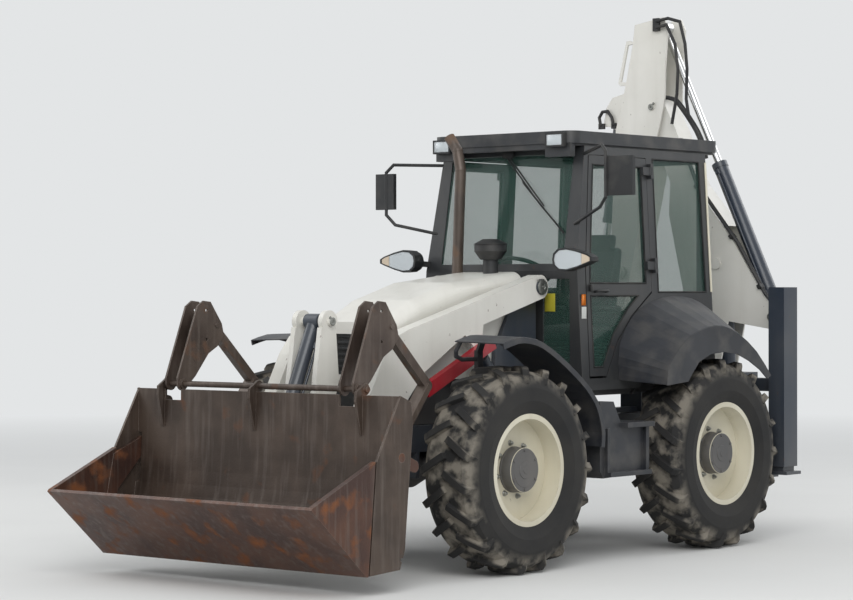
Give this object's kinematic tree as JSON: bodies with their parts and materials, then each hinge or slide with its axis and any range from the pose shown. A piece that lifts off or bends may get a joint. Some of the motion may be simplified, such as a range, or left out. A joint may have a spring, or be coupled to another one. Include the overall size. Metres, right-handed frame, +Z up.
{
  "type": "backhoe loader",
  "caption": "White equal-wheel backhoe loader with a clam bucket, flip-over forks, a dark cab and a side-shift backhoe folded behind it.",
  "frame": {"origin": "On the ground at the middle of the bounding box", "axes": "+X towards the loader bucket, +Y to the operator's left, +Z up"},
  "size_m": [6.12, 2.4, 4.112],
  "materials": {
    "white_paint": "satin, worn",
    "navy_paint": "satin, worn",
    "charcoal_paint": "satin",
    "grey_blue_paint": "satin, dusty",
    "worn_steel": "worn and rusty",
    "red_paint": "satin",
    "rod_chrome": "polished",
    "rim_paint": "satin, dusty",
    "tyre_rubber": "matt",
    "window_glass": "tinted",
    "cast_grey": "painted, matt",
    "exhaust_rust": "rusty",
    "black_plastic": "matt",
    "seat_cloth": "matt"
  },
  "bodies": {
    "machine": {"main_frame": "navy_paint", "slide_frame": "navy_paint", "axles": "cast_grey", "engine_block": "cast_grey", "hood": "white_paint", "grille": "charcoal_paint", "exhaust": "exhaust_rust", "pre_cleaner": "black_plastic", "cab_frame": "charcoal_paint", "cab_roof": "black_plastic", "cab_glass": "window_glass", "console": "black_plastic", "seat": "seat_cloth", "lamps_and_mirrors": "black_plastic", "fenders_and_tanks": "grey_blue_paint"},
    "knuckle_front_left": {"knuckle_front_left": "cast_grey"},
    "wheel_front_left": {"tyre_front_left": "tyre_rubber", "rim_front_left": "rim_paint"},
    "knuckle_front_right": {"knuckle_front_right": "cast_grey"},
    "wheel_front_right": {"tyre_front_right": "tyre_rubber", "rim_front_right": "rim_paint"},
    "knuckle_rear_left": {"knuckle_rear_left": "cast_grey"},
    "wheel_rear_left": {"tyre_rear_left": "tyre_rubber", "rim_rear_left": "rim_paint"},
    "knuckle_rear_right": {"knuckle_rear_right": "cast_grey"},
    "wheel_rear_right": {"tyre_rear_right": "tyre_rubber", "rim_rear_right": "rim_paint"},
    "door_left": {"door_left": "charcoal_paint", "door_glass_left": "window_glass"},
    "door_right": {"door_right": "charcoal_paint", "door_glass_right": "window_glass"},
    "loader_arms": {"loader_arms": "white_paint", "arm_strut": "red_paint"},
    "lift_barrels": {"lift_barrels": "navy_paint"},
    "lift_rods": {"lift_rods": "rod_chrome"},
    "tilt_barrel": {"tilt_barrel": "navy_paint"},
    "tilt_rod": {"tilt_rod": "rod_chrome"},
    "loader_bucket": {"loader_bucket": "worn_steel"},
    "bucket_jaw": {"bucket_jaw": "worn_steel"},
    "jaw_barrels": {"jaw_barrels": "navy_paint"},
    "jaw_rods": {"jaw_rods": "rod_chrome"},
    "fork_left": {"fork_left": "worn_steel"},
    "fork_right": {"fork_right": "worn_steel"},
    "carriage": {"carriage": "navy_paint"},
    "slew_post": {"slew_post": "navy_paint"},
    "boom": {"boom": "white_paint", "boom_lines": "black_plastic"},
    "boom_barrel": {"boom_barrel": "navy_paint"},
    "boom_rod": {"boom_rod": "rod_chrome"},
    "dipper": {"dipper": "white_paint", "dipper_lines": "black_plastic"},
    "dipper_barrel": {"dipper_barrel": "navy_paint"},
    "dipper_rod": {"dipper_rod": "rod_chrome"},
    "dig_bucket": {"dig_bucket": "worn_steel"},
    "dig_rocker": {"dig_rocker": "white_paint"},
    "dig_link": {"dig_link": "white_paint"},
    "dig_barrel": {"dig_barrel": "navy_paint"},
    "dig_rod": {"dig_rod": "rod_chrome"},
    "stabiliser_left": {"stabiliser_left": "navy_paint"},
    "stabiliser_right": {"stabiliser_right": "navy_paint"}
  },
  "joints": [
    {"name": "steer_front_left", "type": "hinge", "parent": "machine", "child": "knuckle_front_left", "pos_m": [0.868, 0.79, 0.7], "axis": [0, 0, 1], "range_deg": [-20, 20]},
    {"name": "wheel_front_left", "type": "hinge", "parent": "knuckle_front_left", "child": "wheel_front_left", "pos_m": [0.868, 0.96, 0.7], "axis": [0, 1, 0], "continuous": true},
    {"name": "steer_front_right", "type": "hinge", "parent": "machine", "child": "knuckle_front_right", "pos_m": [0.868, -0.79, 0.7], "axis": [0, 0, 1], "range_deg": [-20.5, 20.5]},
    {"name": "wheel_front_right", "type": "hinge", "parent": "knuckle_front_right", "child": "wheel_front_right", "pos_m": [0.868, -0.96, 0.7], "axis": [0, 1, 0], "continuous": true},
    {"name": "steer_rear_left", "type": "hinge", "parent": "machine", "child": "knuckle_rear_left", "pos_m": [-1.482, 0.79, 0.7], "axis": [0, 0, 1], "range_deg": [-20, 20]},
    {"name": "wheel_rear_left", "type": "hinge", "parent": "knuckle_rear_left", "child": "wheel_rear_left", "pos_m": [-1.482, 0.96, 0.7], "axis": [0, 1, 0], "continuous": true},
    {"name": "steer_rear_right", "type": "hinge", "parent": "machine", "child": "knuckle_rear_right", "pos_m": [-1.482, -0.79, 0.7], "axis": [0, 0, 1], "range_deg": [-20.5, 20.5]},
    {"name": "wheel_rear_right", "type": "hinge", "parent": "knuckle_rear_right", "child": "wheel_rear_right", "pos_m": [-1.482, -0.96, 0.7], "axis": [0, 1, 0], "continuous": true},
    {"name": "door_left", "type": "hinge", "parent": "machine", "child": "door_left", "pos_m": [-1.172, 0.71728, 2.28969], "axis": [0, -0.0576, 0.9983], "range_deg": [0, 80]},
    {"name": "door_right", "type": "hinge", "parent": "machine", "child": "door_right", "pos_m": [-1.172, -0.71728, 2.28969], "axis": [0, -0.0576, -0.9983], "range_deg": [0, 80]},
    {"name": "loader_lift", "type": "hinge", "parent": "machine", "child": "loader_arms", "pos_m": [-0.107, 0, 1.932], "axis": [0, -1, 0], "range_deg": [-2.6, 64]},
    {"name": "lift_barrels_swing", "type": "hinge", "parent": "machine", "child": "lift_barrels", "pos_m": [-0.132, 0, 0.75], "axis": [0, -1, 0], "range_deg": [-1.18, 19.6]},
    {"name": "lift_rods_slide", "type": "slide", "parent": "lift_barrels", "child": "lift_rods", "axis": [0.6818, 0, 0.7315], "range_m": [-0.04646, 0.77034]},
    {"name": "bucket_tilt", "type": "hinge", "parent": "loader_arms", "child": "loader_bucket", "pos_m": [2.198, 0, 0.36], "axis": [0, 1, 0], "range_deg": [0, 95]},
    {"name": "tilt_barrel_swing", "type": "hinge", "parent": "loader_arms", "child": "tilt_barrel", "pos_m": [1.748, 0, 1.7], "axis": [0, -1, 0], "range_deg": [-0.36, 18.26]},
    {"name": "tilt_rod_slide", "type": "slide", "parent": "tilt_barrel", "child": "tilt_rod", "axis": [0.4052, 0, -0.9142], "range_m": [-0.01225, 0.6196]},
    {"name": "bucket_jaw", "type": "hinge", "parent": "loader_bucket", "child": "bucket_jaw", "pos_m": [2.233, 0, 0.853], "axis": [0, 1, 0], "range_deg": [-60, 0]},
    {"name": "jaw_barrels_swing", "type": "hinge", "parent": "loader_bucket", "child": "jaw_barrels", "pos_m": [2.108, 0, 1.15], "axis": [0, 1, 0], "range_deg": [-16.36, 0.33]},
    {"name": "jaw_rods_slide", "type": "slide", "parent": "jaw_barrels", "child": "jaw_rods", "axis": [-0.0693, 0, -0.9976], "range_m": [-0.00251, 0.12315]},
    {"name": "fork_left", "type": "hinge", "parent": "loader_bucket", "child": "fork_left", "pos_m": [2.22, 0.957, 1.276], "axis": [0, 1, 0], "range_deg": [0, 150]},
    {"name": "fork_right", "type": "hinge", "parent": "loader_bucket", "child": "fork_right", "pos_m": [2.22, -0.957, 1.276], "axis": [0, 1, 0], "range_deg": [0, 150]},
    {"name": "side_shift", "type": "slide", "parent": "machine", "child": "carriage", "axis": [0, -1, 0], "range_m": [0, 0.96]},
    {"name": "boom_swing", "type": "hinge", "parent": "carriage", "child": "slew_post", "pos_m": [-2.752, 0.48, 0.8], "axis": [0, 0, -1], "range_deg": [0, 180]},
    {"name": "boom_lower", "type": "hinge", "parent": "slew_post", "child": "boom", "pos_m": [-2.752, 0.1, 0.9], "axis": [1, 0, 0], "range_deg": [0, 110]},
    {"name": "boom_barrel_swing", "type": "hinge", "parent": "slew_post", "child": "boom_barrel", "pos_m": [-2.752, 0.32, 1.24], "axis": [1, 0, 0], "range_deg": [-2.35, 119.61]},
    {"name": "boom_rod_slide", "type": "slide", "parent": "boom_barrel", "child": "boom_rod", "axis": [0, -0.0341, 0.9994], "range_m": [-0.01375, 0.69607]},
    {"name": "dipper", "type": "hinge", "parent": "boom", "child": "dipper", "pos_m": [-2.752, -0.334, 3.394], "axis": [-1, 0, 0], "range_deg": [0, 105]},
    {"name": "dipper_barrel_swing", "type": "hinge", "parent": "boom", "child": "dipper_barrel", "pos_m": [-2.752, 0.802, 1.7], "axis": [1, 0, 0], "range_deg": [-11.67, 0.23]},
    {"name": "dipper_rod_slide", "type": "slide", "parent": "dipper_barrel", "child": "dipper_rod", "axis": [0, -0.4216, 0.9068], "range_m": [-0.98762, 0.01946]},
    {"name": "dig_bucket", "type": "hinge", "parent": "dipper", "child": "dig_bucket", "pos_m": [-2.752, -0.71063, 1.73625], "axis": [-1, 0, 0], "range_deg": [0, 130]},
    {"name": "dig_rocker_swing", "type": "hinge", "parent": "dipper", "child": "dig_rocker", "pos_m": [-2.752, -0.63752, 2.05804], "axis": [-1, 0, 0], "range_deg": [-1.71, 86.69]},
    {"name": "dig_link_swing", "type": "hinge", "parent": "dig_rocker", "child": "dig_link", "pos_m": [-2.752, -0.94268, 1.93356], "axis": [-1, 0, 0], "range_deg": [-76.44, 1.5]},
    {"name": "dig_barrel_swing", "type": "hinge", "parent": "dipper", "child": "dig_barrel", "pos_m": [-2.752, -0.7502, 3.29987], "axis": [-1, 0, 0], "range_deg": [-1.02, 0.03]},
    {"name": "dig_rod_slide", "type": "slide", "parent": "dig_barrel", "child": "dig_rod", "axis": [0, -0.1395, -0.9902], "range_m": [-0.46698, 0.00925]},
    {"name": "stabiliser_left", "type": "slide", "parent": "machine", "child": "stabiliser_left", "axis": [0, 0, -1], "range_m": [0, 0.49]},
    {"name": "stabiliser_right", "type": "slide", "parent": "machine", "child": "stabiliser_right", "axis": [0, 0, -1], "range_m": [0, 0.49]}
  ],
  "couplings": [
    {"joint": "steer_front_right", "follows": "steer_front_left", "ratio": 1},
    {"joint": "steer_rear_right", "follows": "steer_rear_left", "ratio": 1},
    {"joint": "lift_barrels_swing", "follows": "loader_lift", "ratio": 0.2999},
    {"joint": "lift_rods_slide", "follows": "loader_lift", "m_per_rad": 0.6755},
    {"joint": "tilt_barrel_swing", "follows": "bucket_tilt", "ratio": 0.1884},
    {"joint": "tilt_rod_slide", "follows": "bucket_tilt", "m_per_rad": 0.3663},
    {"joint": "jaw_barrels_swing", "follows": "bucket_jaw", "ratio": 0.2673},
    {"joint": "jaw_rods_slide", "follows": "bucket_jaw", "m_per_rad": -0.1152},
    {"joint": "boom_barrel_swing", "follows": "boom_lower", "ratio": 1.066},
    {"joint": "boom_rod_slide", "follows": "boom_lower", "m_per_rad": 0.3554},
    {"joint": "dipper_barrel_swing", "follows": "dipper", "ratio": -0.1089},
    {"joint": "dipper_rod_slide", "follows": "dipper", "m_per_rad": -0.5283},
    {"joint": "dig_rocker_swing", "follows": "dig_bucket", "ratio": 0.65373},
    {"joint": "dig_link_swing", "follows": "dig_bucket", "ratio": -0.57646},
    {"joint": "dig_barrel_swing", "follows": "dig_bucket", "ratio": -0.00762},
    {"joint": "dig_rod_slide", "follows": "dig_bucket", "m_per_rad": -0.20174}
  ]
}
